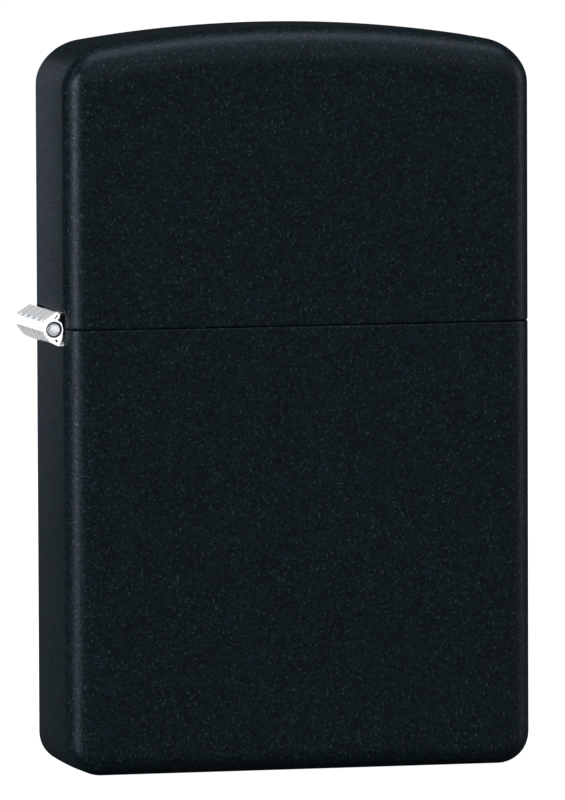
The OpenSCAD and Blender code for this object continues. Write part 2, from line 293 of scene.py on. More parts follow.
def ring_layout():
    """Where each point of a ring sits, as (side of x, side of y, along the straight
    part from -1 to 1 or None, share of the way round a corner from the x side)."""
    layout = []
    for step in range(-SIDE_STEPS + 1, SIDE_STEPS):
        layout.append((-1, 0, step / SIDE_STEPS, None))
    layout += [(-1, 1, None, share) for share in CORNER_SHARES]
    for step in range(-FRONT_STEPS + 1, FRONT_STEPS):
        layout.append((0, 1, step / FRONT_STEPS, None))
    layout += [(1, 1, None, share) for share in reversed(CORNER_SHARES)]
    for step in range(-SIDE_STEPS + 1, SIDE_STEPS):
        layout.append((1, 0, -step / SIDE_STEPS, None))
    layout += [(1, -1, None, share) for share in CORNER_SHARES]
    for step in range(-FRONT_STEPS + 1, FRONT_STEPS):
        layout.append((0, -1, -step / FRONT_STEPS, None))
    layout += [(-1, -1, None, share) for share in reversed(CORNER_SHARES)]
    return layout


LAYOUT = ring_layout()


def side_bulge(half_w, half_d, corner):
    """The radius of a domed side, and the x of its corners' centres."""
    side_r = SIDE_R - CASE_W / 2 + half_w
    corner_x = half_w - side_r + math.sqrt((side_r - corner) ** 2 - (half_d - corner) ** 2)
    return side_r, corner_x


def ring_point(place, half_w, half_d, corner):
    """The plan position of one ring point, and how far it has turned from the side
    face (0) towards the front or back face (1)."""
    side_x, side_y, along, share = place
    side_r, corner_x = side_bulge(half_w, half_d, corner)
    side_turn = math.asin((half_d - corner) / (side_r - corner))
    if share is not None:
        angle = side_turn + (math.pi / 2 - side_turn) * share
        x = side_x * (corner_x + corner * math.cos(angle))
        y = side_y * (half_d - corner + corner * math.sin(angle))
        return x, y, share
    if side_x:
        y = along * side_r * math.sin(side_turn)
        return side_x * (half_w - side_r + math.sqrt(side_r ** 2 - y ** 2)), y, 0
    return along * corner_x, side_y * half_d, 1


def crown_drop(x):
    """How far the crowned top has dropped at x."""
    return CROWN_R - math.sqrt(CROWN_R ** 2 - x ** 2)


class Half:
    """One half of the case: the radii of its closed end, and which way that end is."""

    def __init__(self, up, cap_z, rim_z, radius_x, radius_y, height_side, height_front):
        self.up = up
        self.cap_z = cap_z
        self.rim_z = rim_z
        self.radius_x = radius_x
        self.radius_y = radius_y
        self.height_side = height_side
        self.height_front = height_front

    def cap_height(self, x, inset):
        drop = crown_drop(x) if self.up > 0 else 0
        return self.cap_z - self.up * (drop + inset)

    def rounded_ring(self, turn, inset):
        """A ring on the round between the wall (turn 0) and the cap (turn 90 degrees)."""
        back = 1 - math.cos(turn)
        half_w = CASE_W / 2 - inset - (self.radius_x - inset) * back
        half_d = CASE_D / 2 - inset - (self.radius_y - inset) * back
        corner = (EDGE_R - inset) * math.cos(turn)
        ring = []
        for place in LAYOUT:
            x, y, facing = ring_point(place, half_w, half_d, corner)
            height = self.height_side + (self.height_front - self.height_side) * facing - inset
            z = self.cap_height(x, inset) - self.up * height * (1 - math.sin(turn))
            ring.append((x, y, z))
        return ring

    def flat_ring(self, z, inset):
        """A level ring, moved in from the outer wall by inset."""
        ring = []
        for place in LAYOUT:
            x, y, _ = ring_point(place, CASE_W / 2 - inset, CASE_D / 2 - inset, EDGE_R - inset)
            ring.append((x, y, z))
        return ring

    def cap_grid(self, inset):
        """Points and faces of the cap inside the last ring."""
        half_w = CASE_W / 2 - self.radius_x
        half_d = CASE_D / 2 - self.radius_y
        points, faces = [], []
        columns = 2 * FRONT_STEPS + 1
        side_r, _ = side_bulge(half_w, half_d, 0)
        for row in range(-SIDE_STEPS, SIDE_STEPS + 1):
            y = row / SIDE_STEPS * half_d
            row_w = half_w - side_r + math.sqrt(side_r ** 2 - y ** 2)
            for column in range(-FRONT_STEPS, FRONT_STEPS + 1):
                x = column / FRONT_STEPS * row_w
                points.append((x, y, self.cap_height(x, inset)))
        for row in range(2 * SIDE_STEPS):
            for column in range(columns - 1):
                first = row * columns + column
                faces.append((first, first + 1, first + columns + 1, first + columns))
        return points, faces


ROUND_STEPS = 14
RIM_STEPS = 4
SUPPORT = 0.35
SHOULDER_DOWN = 4
NOTCH_SUPPORT = 0.8


def case_levels(half):
    """The rings of a half, from its outer cap to its rim and back inside, and the first
    and last of them that the hinge's notch cuts."""
    turns = [math.pi / 2 * (1 - i / ROUND_STEPS) for i in range(ROUND_STEPS + 1)]
    notch = SPLIT_Z + half.up * NOTCH_Z
    shoulder = half.cap_z - half.up * (half.height_side + SHOULDER_DOWN)
    levels = [half.rounded_ring(turn, 0) for turn in turns]
    levels += [[(x, y, z - half.up * SUPPORT) for x, y, z in levels[-1]]]
    levels += [half.flat_ring(shoulder, 0), half.flat_ring(notch + half.up * NOTCH_SUPPORT, 0)]
    notch_first = len(levels)
    levels += [half.flat_ring(notch, 0), half.flat_ring(half.rim_z + half.up * 2 * RIM_R, 0)]
    rim_turns = [math.pi / 2 * i / RIM_STEPS for i in range(RIM_STEPS + 1)]
    for turn in rim_turns:
        inset = RIM_R * (1 - math.cos(turn))
        levels.append(half.flat_ring(half.rim_z + half.up * RIM_R * (1 - math.sin(turn)), inset))
    for turn in rim_turns:
        inset = WALL - RIM_R * (1 - math.sin(turn))
        levels.append(half.flat_ring(half.rim_z + half.up * RIM_R * (1 - math.cos(turn)), inset))
    notch_last = len(levels)
    levels += [half.flat_ring(notch, WALL), half.flat_ring(shoulder, WALL)]
    levels += [half.rounded_ring(turn, WALL) for turn in reversed(turns)]
    return levels, notch_first, notch_last


def case_half(name, half, material):
    """A drawn shell with a rounded closed end, a rounded rim and the hinge's notch."""
    levels, notch_first, notch_last = case_levels(half)
    count = len(LAYOUT)
    start = LAYOUT.index((-1, -1, None, NOTCH_SHARE))
    end = LAYOUT.index((-1, 1, None, NOTCH_SHARE)) + count
    cut = {j % count for j in range(start, end)}
    points = [p for ring in levels for p in ring]
    faces = []
    for level in range(len(levels) - 1):
        beside_notch = notch_first <= level < notch_last
        for j in range(count):
            if not (beside_notch and j in cut):
                faces.append(strip_face(level * count, (level + 1) * count, j, count))
    faces += [strip_face(notch_first * count, notch_last * count, j, count) for j in cut]
    for j in (start, end % count):
        faces.append([level * count + j for level in range(notch_first, notch_last + 1)])
    for inset in (0, WALL):
        grid_points, grid_faces = half.cap_grid(inset)
        base = len(points)
        points += grid_points
        faces += [[base + i for i in face] for face in grid_faces]
    return flat_faces(mesh_piece(name, points, faces, material))


# ---- Materials ----

# most of a noise's values lie between these
NOISE_LOW = 0.3
NOISE_HIGH = 0.7
# how far two normals agree on a flat face, and on a fully worn edge
FLAT_MATCH = 0.995
EDGE_MATCH = 0.9


class Shader:
    """A principled material with a short way to add and join nodes."""

    def __init__(self, name, color, metallic, roughness, **sockets):
        self.material = bpy.data.materials.new(name)
        self.material.use_nodes = True
        self.tree = self.material.node_tree
        self.surface = self.tree.nodes["Principled BSDF"]
        self.set("Base Color", (*color, 1))
        self.set("Metallic", metallic)
        self.set("Roughness", roughness)
        for socket, value in sockets.items():
            self.set(socket.replace("_", " "), value)
        self.where = self.node("ShaderNodeTexCoord").outputs["Object"]

    def set(self, socket, value):
        self.surface.inputs[socket].default_value = value

    def node(self, kind, **values):
        made = self.tree.nodes.new(kind)
        for name, value in values.items():
            setattr(made, name, value)
        return made

    def join(self, output, target):
        self.tree.links.new(output, target)

    def drive(self, socket, output):
        """Feeds a socket of the surface from another node."""
        self.join(output, self.surface.inputs[socket])

    def spread(self, value, to_low=0, to_high=1):
        """A noise's usual values, spread over a range."""
        return self.remap(value, NOISE_LOW, NOISE_HIGH, to_low, to_high)

    def noise(self, size, detail=2, stretch=(1, 1, 1), roughness=0.5):
        """Noise whose grains are about size millimetres across."""
        scale = self.node("ShaderNodeMapping")
        scale.inputs["Scale"].default_value = stretch
        self.join(self.where, scale.inputs["Vector"])
        noise = self.node("ShaderNodeTexNoise")
        noise.inputs["Scale"].default_value = 1 / (size * MM)
        noise.inputs["Detail"].default_value = detail
        noise.inputs["Roughness"].default_value = roughness
        self.join(scale.outputs["Vector"], noise.inputs["Vector"])
        return noise.outputs["Fac"]

    def remap(self, value, low, high, to_low, to_high):
        ramp = self.node("ShaderNodeMapRange")
        for socket, number in zip(ramp.inputs[1:5], (low, high, to_low, to_high)):
            socket.default_value = number
        self.join(value, ramp.inputs[0])
        return ramp.outputs[0]

    def mix(self, factor, first, second):
        blend = self.node("ShaderNodeMix", data_type="RGBA")
        sockets = (blend.inputs[0], blend.inputs[6], blend.inputs[7])
        for socket, value in zip(sockets, (factor, first, second)):
            if isinstance(value, tuple):
                socket.default_value = (*value, 1)
            else:
                self.join(value, socket)
        return blend.outputs[2]

    def times(self, first, second):
        """Two colours multiplied."""
        blend = self.node("ShaderNodeMix", data_type="RGBA", blend_type="MULTIPLY")
        blend.inputs[0].default_value = 1
        self.join(first, blend.inputs[6])
        self.join(second, blend.inputs[7])
        return blend.outputs[2]

    def add(self, first, second):
        total = self.node("ShaderNodeMath", operation="ADD")
        self.join(first, total.inputs[0])
        self.join(second, total.inputs[1])
        return total.outputs[0]

    def bump(self, height, depth):
        """Bump whose full height is depth millimetres."""
        bump = self.node("ShaderNodeBump")
        bump.inputs["Distance"].default_value = depth * MM
        bump.inputs["Strength"].default_value = 1
        self.join(height, bump.inputs["Height"])
        self.drive("Normal", bump.outputs["Normal"])

    def worn_edges(self, width):
        """1 where the surface bends sharply within width millimetres, 0 elsewhere."""
        rounded = self.node("ShaderNodeBevel", samples=4)
        rounded.inputs["Radius"].default_value = width * MM
        flat = self.node("ShaderNodeNewGeometry")
        dot = self.node("ShaderNodeVectorMath", operation="DOT_PRODUCT")
        self.join(rounded.outputs["Normal"], dot.inputs[0])
        self.join(flat.outputs["Normal"], dot.inputs[1])
        return self.remap(dot.outputs["Value"], FLAT_MATCH, EDGE_MATCH, 0, 1)


def powder_coat():
    """Matt black powder coat: a fine pebbled skin with painted shade in its hollows and painted light on its
    crests, and a few brighter grains.
    """
    # painted shade and light: the pebbles' hollows take the first, darkest colour and their crests the next,
    # lighter one
    hollow = (0.0002, 0.005, 0.0065)
    lit_crest = (0.004, 0.026, 0.033)
    even = (0.001, 0.014, 0.018)
    grain = (0.085, 0.120, 0.130)
    coat = Shader("case_powder_coat", (0.010, 0.022, 0.027), 0, 0.45, Specular_IOR_Level=0.5)
    pebbles = coat.noise(0.26, 2, roughness=0.6)
    speck = coat.remap(coat.noise(0.20, 1), 0.60, 0.78, 0, 1)
    cloud = coat.spread(coat.noise(3.5, 3))
    # painted shade in the pebbles' hollows and painted light on their crests, following the bump's height
    ground = coat.mix(coat.remap(pebbles, 0.40, 0.61, 0, 1), hollow, lit_crest)
    drift = coat.mix(cloud, (0.86, 0.86, 0.86), (1.12, 1.12, 1.12))
    tinted = coat.mix(coat.remap(cloud, 0, 1, 0.1, 0.3), ground, even)
    coat.drive("Base Color", coat.mix(speck, coat.times(tinted, drift), grain))
    coat.drive("Roughness", coat.remap(pebbles, 0.35, 0.65, 0.34, 0.48))
    coat.bump(pebbles, 0.018)
    return coat.material


def metal(name, color, dark, rough, grain=0.25, stretch=(1, 1, 1), depth=0.003, edge=0.12):
    """Bare metal with a brushed or tumbled grain, clouded tone and brighter worn edges."""
    surface = Shader(name, color, 1, rough)
    cloud = surface.spread(surface.noise(1.6, 3))
    lines = surface.noise(grain, 3, stretch, 0.6)
    tone = surface.mix(cloud, dark, color)
    bright = tuple(min(1, c * 1.15 + 0.03) for c in color)
    surface.drive("Base Color", surface.mix(surface.worn_edges(edge), tone, bright))
    surface.drive("Roughness", surface.spread(lines, rough * 0.7, rough * 1.35))
    surface.bump(lines, depth)
    return surface.material


def fibre(name, color, shade, size, stretch=(1, 1, 1), depth=0.05):
    """Matted or spun fibres: fine hairs over soft hollows, with painted shade where they sink."""
    surface = Shader(name, color, 0, 0.9, Sheen_Weight=0.3, Specular_IOR_Level=0.2)
    hairs = surface.noise(size, 4, stretch, 0.7)
    hollow = surface.noise(size * 5, 2)
    height = surface.add(hairs, hollow)
    # painted shade: the shade colour where the hairs and hollows sink, following the bump's height
    tone = surface.remap(height, 0.7, 1.3, 0, 1)
    surface.drive("Base Color", surface.mix(tone, shade, color))
    surface.drive("Roughness", surface.spread(hairs, 0.8, 1))
    surface.bump(height, depth)
    return surface.material


# ---- The hinge ----

KNUCKLES = 5
KNUCKLE_GAP = 0.09
PIN_HOLE_R = 0.62
PIN_SEEN_R = 0.5
LEAF_T = 0.3
LEAF_W = 8.2
LEAF_CORNER_R = 0.9
FLARE_H = 1.27
# the strips that run from a leaf to its knuckles: where they start, and how far they lap the leaf
STRIP_START = 0.35
STRIP_LAP = 0.02
# the two spot welds of a leaf
WELD_R = 0.55
WELD_Y = 2.2
WELD_DEPTH = 0.08
CURL_BEVEL = 0.055
LEAF_BEVEL = 0.06
PIN_END = 0.06
PIN_DOME = 0.05
LEAF_BODY_LOW, LEAF_BODY_HIGH = node_box("body_hinge_leaf")
LEAF_LID_LOW, LEAF_LID_HIGH = node_box("lid_hinge_leaf")


def round_corners(corners, steps=5):
    """A closed outline from (x, z, radius) corners, each rounded by its radius."""
    outline = []
    for i, (x, z, radius) in enumerate(corners):
        here = Vector((x, z))
        before = Vector(corners[i - 1][:2])
        after = Vector(corners[(i + 1) % len(corners)][:2])
        if radius == 0:
            outline.append(tuple(here))
            continue
        to_before = (before - here).normalized()
        to_after = (after - here).normalized()
        half_angle = to_before.angle(to_after) / 2
        reach = radius / math.tan(half_angle)
        centre = here + (to_before + to_after).normalized() * (radius / math.sin(half_angle))
        first = here + to_before * reach - centre
        last = here + to_after * reach - centre
        sweep = first.angle_signed(last)
        for step in range(steps + 1):
            turned = Matrix.Rotation(-sweep * step / steps, 2) @ first
            outline.append(tuple(centre + turned))
    return outline


# the curl of sheet round the pin, as (x, z, corner radius) from the pin's centre
CURL = [
    (0.38, -1.30, 0.08), (0.62, -0.75, 0.25), (0.72, 0.05, 0.5), (0.60, 0.50, 0.2),
    (0.24, 0.74, 0.06), (0.46, 0.92, 0.06), (0.46, 1.20, 0.10), (0.22, 1.36, 0.12),
    (-0.80, 0.70, 0.30), (-0.82, -0.32, 0.6), (-0.28, -0.98, 0.3),
]

# the gap in the folded upper tip, and the one between the sheet and its wrap below
TIP_GAP = [(0.02, 0.84), (0.10, 0.80), (0.34, 1.10), (0.26, 1.16)]
WRAP_GAP = [(0.02, -0.76), (0.32, -0.78), (0.24, -1.02)]


def at_pin(outline):
    """An outline drawn from the pin's centre, moved to the hinge."""
    return [(PIN_X + x, SPLIT_Z + z) for x, z in outline]


def knuckle(index, material):
    """One knuckle of the hinge, as a curl of sheet round the pin."""
    length = HINGE_LEN / KNUCKLES
    y0 = PIN_LOW.y + index * length + KNUCKLE_GAP / 2
    y1 = y0 + length - KNUCKLE_GAP
    curl = bar("y", at_pin(round_corners(CURL)), y0, y1)
    piece = mesh_piece(f"hinge_knuckle_{index + 1}", *curl, material, 30)
    holes = [circle(PIN_HOLE_R, PIN_X, SPLIT_Z), at_pin(TIP_GAP), at_pin(WRAP_GAP)]
    combine(piece, [bar("y", hole, y0 - PAST, y1 + PAST) for hole in holes])
    return finished(bevel(piece, CURL_BEVEL, 3, 50), 50)


def hinge_leaf(name, up, material):
    """The plate welded inside the wall, with the strips that run out to its knuckles."""
    low, high = (LEAF_LID_LOW, LEAF_LID_HIGH) if up > 0 else (LEAF_BODY_LOW, LEAF_BODY_HIGH)
    x = high.x - LEAF_T
    root_z = SPLIT_Z + up * (FLARE_H - LEAF_T)
    far_z = high.z if up > 0 else low.z
    middle_z = (far_z + root_z) / 2
    outline = round_rect(LEAF_W, abs(far_z - root_z), LEAF_CORNER_R, 0, middle_z)
    piece = mesh_piece(name, *bar("x", outline, x, high.x), material)
    strips = []
    length = HINGE_LEN / KNUCKLES
    for index in range(1 if up > 0 else 0, KNUCKLES, 2):
        y0 = PIN_LOW.y + index * length + KNUCKLE_GAP
        y1 = y0 + length - 2 * KNUCKLE_GAP
        z0, z1 = sorted((root_z - up * STRIP_LAP, root_z + up * LEAF_T))
        strips.append(bar("y", box_outline(PIN_X + STRIP_START, x + LEAF_T / 2, z0, z1), y0, y1))
    combine(piece, strips, "UNION")
    welds = [circle(WELD_R, side * WELD_Y, middle_z) for side in (-1, 1)]
    combine(piece, [bar("x", weld, high.x - WELD_DEPTH, high.x + PAST) for weld in welds])
    return finished(bevel(piece, LEAF_BEVEL, 2, 40))


def hinge_pin(material):
    """The pin, with its ends rounded over."""
    near = list(reversed(domed(PIN_SEEN_R, PIN_LOW.y + PIN_END, PIN_DOME, -1)))
    far = domed(PIN_SEEN_R, PIN_HIGH.y - PIN_END, PIN_DOME, 1)
    rod = turned("y", near + far, PIN_X, SPLIT_Z, count=48)
    return mesh_piece("hinge_pin_rod", *rod, material, 60)


# ---- The insert: tank, chimney and ears in one sheet ----

TANK_X = (SHELL_LOW.x + SHELL_HIGH.x) / 2
TANK_W = SHELL_HIGH.x - SHELL_LOW.x
TANK_D = SHELL_HIGH.y - SHELL_LOW.y
TANK_R = 1.7
SHOULDER_R = 0.9
SHOULDER_STEPS = 6
CHIMNEY_X = -1.45
CHIMNEY_W = 17.5
CHIMNEY_D = 9.6
CHIMNEY_R = 3.6
CORNER_ARC = 12
CHIMNEY_TOP = SHELL_HIGH.z
AIR_HOLE_R = 1.1
AIR_ROWS = ((4.1, 3), (7.6, 2), (11.1, 3))
AIR_PITCH = 4.6
EAR_RISE = 0.6
EAR_STEPS = 8
# how far inside the chimney the wheel's ears start, and how deep a slot's tool reaches
WHEEL_EAR_ROOT = 1
REACH_IN = 2
WHEEL_EAR_R = 2.6
WHEEL_EAR_HALF = 3.1
CAM_EAR_R = 1.7
CAM_EAR_HALF = 1.5
SPARK_SLOT_HALF = 2.4
SPARK_SLOT_UP = 7
CAM_SLOT_H = 6.6
TOE_NOTCH_END = PIN_X + 5.1
TOE_NOTCH_DOWN = 0.8
INSERT_BEVEL = 0.07
# the two rivets' shanks, and the clearance of what turns on them
AXLE_R = 1.0
PIVOT_R = 0.75
RUN = 0.05


def tank_skin(inset, bottom):
    """The tank's skin, moved in by inset, from the open bottom to the round shoulder."""
    top = SHOULDER_Z - inset
    radius = SHOULDER_R - inset
    levels = [(0, bottom), (0, top - radius)]
    for step in range(1, SHOULDER_STEPS + 1):
        turn = math.pi / 2 * step / SHOULDER_STEPS
        levels.append((radius * (1 - math.cos(turn)), top - radius * (1 - math.sin(turn))))
    rings = []
    for back, z in levels:
        in_all = inset + back
        outline = round_rect(TANK_W - 2 * in_all, TANK_D - 2 * in_all, TANK_R - in_all, TANK_X)
        rings.append([(x, y, z) for x, y in outline])
    return skin(rings)


def ears(x0, x, z, radius, half):
    """The pair of ears that holds a rivet, reaching out from the chimney wall at x0."""
    side = 1 if x > x0 else -1
    base = SHOULDER_Z - SHEET / 2
    turns = [math.pi * i / (2 * EAR_STEPS) for i in range(EAR_STEPS + 1)]
    arc = [(x + side * radius * math.sin(turn), z + radius * math.cos(turn)) for turn in turns]
    outline = [(x0, base), (x0, z + radius + EAR_RISE)] + arc + [(x + side * radius, base)]
    return [bar("y", outline, *sorted((way * half, way * (half + SHEET)))) for way in (-1, 1)]


def chimney_skin(inset, low, high):
    """The chimney's outline, moved in by inset, as a bar from low to high."""
    width, depth = CHIMNEY_W - 2 * inset, CHIMNEY_D - 2 * inset
    outline = round_rect(width, depth, CHIMNEY_R - inset, CHIMNEY_X, 0, CORNER_ARC)
    return bar("z", outline, low, high)


def insert_holes():
    """Tools for the air holes, the rivets' holes and the flint tube's hole."""
    tools = []
    for up, count in AIR_ROWS:
        for i in range(count):
            x = CHIMNEY_X + (i - (count - 1) / 2) * AIR_PITCH
            tools.append(bar("y", circle(AIR_HOLE_R, x, SHOULDER_Z + up), -CHIMNEY_D, CHIMNEY_D))
    tools.append(bar("y", circle(AXLE_R, WHEEL_X, WHEEL_Z), -TANK_D, TANK_D))
    tools.append(bar("y", circle(PIVOT_R, CAM_X, CAM_Z), -TANK_D, TANK_D))
    tube = circle((TUBE_HIGH.x - TUBE_LOW.x) / 2 + RUN, WHEEL_X, 0)
    tools.append(bar("z", tube, SHOULDER_Z - REACH_IN, SHOULDER_Z + PAST))
    return tools


def insert_slots(left, right):
    """Tools for the slots towards the wheel and the cam, and the notch for the cam's toe."""
    spark_low = SHOULDER_Z + SPARK_SLOT_UP
    toe_low = SPLIT_Z - TOE_NOTCH_DOWN
    slots = [
        (right - REACH_IN, right + PAST, SPARK_SLOT_HALF, spark_low, CHIMNEY_TOP + PAST),
        (left - PAST, left + REACH_IN, CAM_EAR_HALF, SHOULDER_Z, SHOULDER_Z + CAM_SLOT_H),
        (PIN_X, TOE_NOTCH_END, CAM_EAR_HALF, toe_low, SHOULDER_Z + PAST),
    ]
    return [bar("y", box_outline(x0, x1, z0, z1), -half, half) for x0, x1, half, z0, z1 in slots]


def insert_case(material):
    """The fuel insert's sheet: tank, shoulder, chimney with its air holes, and ears."""
    left, right = CHIMNEY_X - CHIMNEY_W / 2, CHIMNEY_X + CHIMNEY_W / 2
    wheel_ears = ears(right - WHEEL_EAR_ROOT, WHEEL_X, WHEEL_Z, WHEEL_EAR_R, WHEEL_EAR_HALF)
    cam_ears = ears(left + SHEET / 2, CAM_X, CAM_Z, CAM_EAR_R, CAM_EAR_HALF)
    piece = mesh_piece("insert_case", *tank_skin(0, SHELL_LOW.z), material)
    combine(piece, [chimney_skin(0, SHOULDER_Z - SHEET / 2, CHIMNEY_TOP)], "UNION")
    combine(piece, wheel_ears, "UNION")
    combine(piece, cam_ears, "UNION")
    inside = [tank_skin(SHEET, SHELL_LOW.z - PAST)]
    inside.append(chimney_skin(SHEET, SHOULDER_Z - 2 * SHEET, CHIMNEY_TOP + PAST))
    combine(piece, inside + insert_holes() + insert_slots(left, right))
    return finished(bevel(piece, INSERT_BEVEL, 2, 40))


# ---- Cam, rivets, wheel, flint and fuel parts ----

# the straight rim of a rivet's head, under its dome
HEAD_RIM = 0.12
CAM_BEVEL = 0.12


def rivet(name, x, z, shank_r, head_r, head_t, end, material):
    """A rivet along Y with two domed heads, its ends at plus and minus end."""
    half = end - head_t
    left = list(reversed(domed(head_r, -half - HEAD_RIM, head_t - HEAD_RIM, -1)))
    right = domed(head_r, half + HEAD_RIM, head_t - HEAD_RIM, 1)
    middle = [(head_r, -half), (shank_r, -half), (shank_r, half), (head_r, half)]
    return mesh_piece(name, *turned("y", left + middle + right, x, z, count=48), material)


# the cam, as (x, z, corner radius) from its pivot: the toe to the left, the heel to the right
CAM_OUTLINE = [
    (0.2, 1.72, 0.8), (-3.6, 0.8, 1.5), (-6.2, -1.2, 0.6), (-6.4, -3.1, 0.35),
    (-5.4, -3.5, 0.35), (-3.0, -2.5, 0.8), (-0.3, -1.6, 0.5), (2.2, -1.5, 0.25),
    (2.2, -0.6, 0.3), (1.3, 1.1, 0.9),
]


def cam_piece(material):
    """The cam that holds the lid open or shut."""
    outline = [(CAM_X + x, CAM_Z + z) for x, z in round_corners(CAM_OUTLINE)]
    piece = mesh_piece("cam_lever", *bar("y", outline, CAM_LOW.y, CAM_HIGH.y), material)
    hole = circle(PIVOT_R + RUN, CAM_X, CAM_Z)
    combine(piece, [bar("y", hole, CAM_LOW.y - PAST, CAM_HIGH.y + PAST)])
    return finished(bevel(piece, CAM_BEVEL, 3, 40))


TEETH = 36
TOOTH_DEPTH = 0.4
# half a groove's width, as a share of a tooth's pitch
GROOVE_HALF = 0.3
TOOTH_STEPS = 8
RIM_COLUMNS = 40
CROSS_PITCH = 1.1
WHEEL_HUB_R = 2.3
WHEEL_HALF = 2.7


def groove(turn):
    """Depth of a V groove, 0 to 1, once in every turn."""
    return max(0, 1 - abs(turn % 1 - 0.5) / GROOVE_HALF)


def spark_wheel(material):
    """The wheel, with two crossing sets of grooves cut round its rim."""
    radius = (WHEEL_HIGH.x - WHEEL_LOW.x) / 2
    count = TEETH * TOOTH_STEPS
    rings = []
    for column in range(RIM_COLUMNS + 1):
        y = WHEEL_HALF * (2 * column / RIM_COLUMNS - 1)
        edge = TOOTH_DEPTH if column in (0, RIM_COLUMNS) else 0
        ring = []
        for step in range(count):
            angle = 2 * math.pi * step / count
            turn = step / TOOTH_STEPS
            depth = TOOTH_DEPTH * max(groove(turn + y / CROSS_PITCH), groove(turn - y / CROSS_PITCH))
            r = radius - max(depth, edge)
            ring.append((WHEEL_X + r * math.cos(angle), y, WHEEL_Z + r * math.sin(angle)))
        rings.append(ring)
    hub = [(WHEEL_HUB_R, WHEEL_HALF), (WHEEL_HUB_R, WHEEL_HIGH.y), (AXLE_R + RUN, WHEEL_HIGH.y),
           (AXLE_R + RUN, WHEEL_LOW.y), (WHEEL_HUB_R, WHEEL_LOW.y), (WHEEL_HUB_R, -WHEEL_HALF)]
    for r, y in hub:
        rings.append([(x, y, z) for x, z in circle(r, WHEEL_X, WHEEL_Z, count)])
    return mesh_piece("spark_wheel", *skin(rings, closed=True), material, 25)


def swept(path, radius, sides=6):
    """Points and faces of a round strand along a path."""
    rings = []
    for i, here in enumerate(path):
        along = (path[min(i + 1, len(path) - 1)] - path[max(i - 1, 0)]).normalized()
        guide = Vector((0, 0, 1)) if abs(along.z) < 0.7 else Vector((1, 0, 0))
        across = along.cross(guide).normalized()
        up = across.cross(along)
        turns = [2 * math.pi * k / sides for k in range(sides)]
        rings.append([here + radius * (across * math.cos(t) + up * math.sin(t)) for t in turns])
    return skin(rings)


def gather(solids):
    """Several solids as the points and faces of one mesh."""
    points, faces = [], []
    for more_points, more_faces in solids:
        base = len(points)
        points += more_points
        faces += [tuple(base + i for i in face) for face in more_faces]
    return points, faces


WIRE_R = 0.19
SPRING_TURNS = 34
COIL_STEPS = 16
# the pitch of the closed turn at each end, in wire widths
CLOSED_PITCH = 1.05


def flint_coil(material):
    """The long spring that pushes the flint up against the wheel."""
    radius = (SPRING_HIGH.x - SPRING_LOW.x) / 2 - WIRE_R
    low, high = SPRING_LOW.z + WIRE_R, SPRING_HIGH.z - WIRE_R
    closed = 2 * WIRE_R * CLOSED_PITCH
    pitch = (high - low - 2 * closed) / (SPRING_TURNS - 2)
    path = []
    for step in range(SPRING_TURNS * COIL_STEPS + 1):
        turn = step / COIL_STEPS
        z = low + closed * min(turn, 1) + pitch * min(max(turn - 1, 0), SPRING_TURNS - 2)
        z += closed * max(turn - SPRING_TURNS + 1, 0)
        angle = 2 * math.pi * turn
        path.append(Vector((WHEEL_X + radius * math.cos(angle), radius * math.sin(angle), z)))
    return mesh_piece("flint_coil", *swept(path, WIRE_R), material, 60)


SCREW_HEAD_TOP = 2.8
SCREW_R = 1.3
THREAD_PITCH = 0.5
THREAD_DEPTH = 0.16
THREADS = 7
THREAD_START = 0.3
DRIVE_HALF = 0.4
DRIVE_DEPTH = 0.5
DRIVE_REACH = 4
HEAD_LOW_CHAMFER = 0.25
HEAD_TOP_CHAMFER = 0.15
TIP_R = 0.8
TIP_END_R = 0.6
TIP_CHAMFER = 0.2


def screw_piece(material):
    """The slotted brass screw that closes the flint tube."""
    head_r = (SCREW_HIGH.x - SCREW_LOW.x) / 2
    root_r = SCREW_R - THREAD_DEPTH
    profile = [
        (head_r - HEAD_LOW_CHAMFER, SCREW_LOW.z),
        (head_r, SCREW_LOW.z + HEAD_LOW_CHAMFER),
        (head_r, SCREW_HEAD_TOP - HEAD_TOP_CHAMFER),
        (head_r - HEAD_TOP_CHAMFER, SCREW_HEAD_TOP),
        (root_r, SCREW_HEAD_TOP),
    ]
    for thread in range(THREADS):
        z = SCREW_HEAD_TOP + THREAD_START + thread * THREAD_PITCH
        profile += [(root_r, z), (SCREW_R, z + THREAD_PITCH / 2)]
    profile += [
        (root_r, z + THREAD_PITCH),
        (TIP_R, z + THREAD_PITCH + TIP_CHAMFER),
        (TIP_R, SCREW_HIGH.z - TIP_CHAMFER),
        (TIP_END_R, SCREW_HIGH.z),
    ]
    piece = mesh_piece("tube_screw", *turned("z", profile, WHEEL_X), material, 30)
    slot = box_outline(-DRIVE_HALF, DRIVE_HALF, SCREW_LOW.z - PAST, SCREW_LOW.z + DRIVE_DEPTH)
    combine(piece, [bar("x", slot, WHEEL_X - DRIVE_REACH, WHEEL_X + DRIVE_REACH)])
    return finished(piece, 30)


STRANDS = 8
STRAND_R = 0.42
STRAND_STEP = 0.35
STRAND_LAY = 5.2
OVER_UNDER = 0.13
STRAND_START = 0.5
STRAND_FRAY = 0.12
CORE_R = 0.8
CORE_END_R = 0.3
CORE_END = 0.3
CORE_TOP_DOWN = 0.7
COPPER_WIRES = 3
COPPER_R = 0.1
COPPER_SINK = 0.04
COPPER_TOP_DOWN = 0.15


def strand_path(index, count, way, radius, swing, top):
    """The path of one strand that winds up the wick and passes over and under others."""
    path = []
    length = top - WICK_LOW.z - STRAND_START
    steps = int(length / STRAND_STEP)
    for step in range(steps + 1):
        z = WICK_LOW.z + STRAND_START + length * step / steps
        angle = 2 * math.pi * (index / count + way * z / STRAND_LAY)
        r = radius + swing * math.sin(2 * angle * STRANDS / 4 + math.pi * index)
        path.append(Vector((WICK_X + r * math.cos(angle), r * math.sin(angle), z)))
    return path


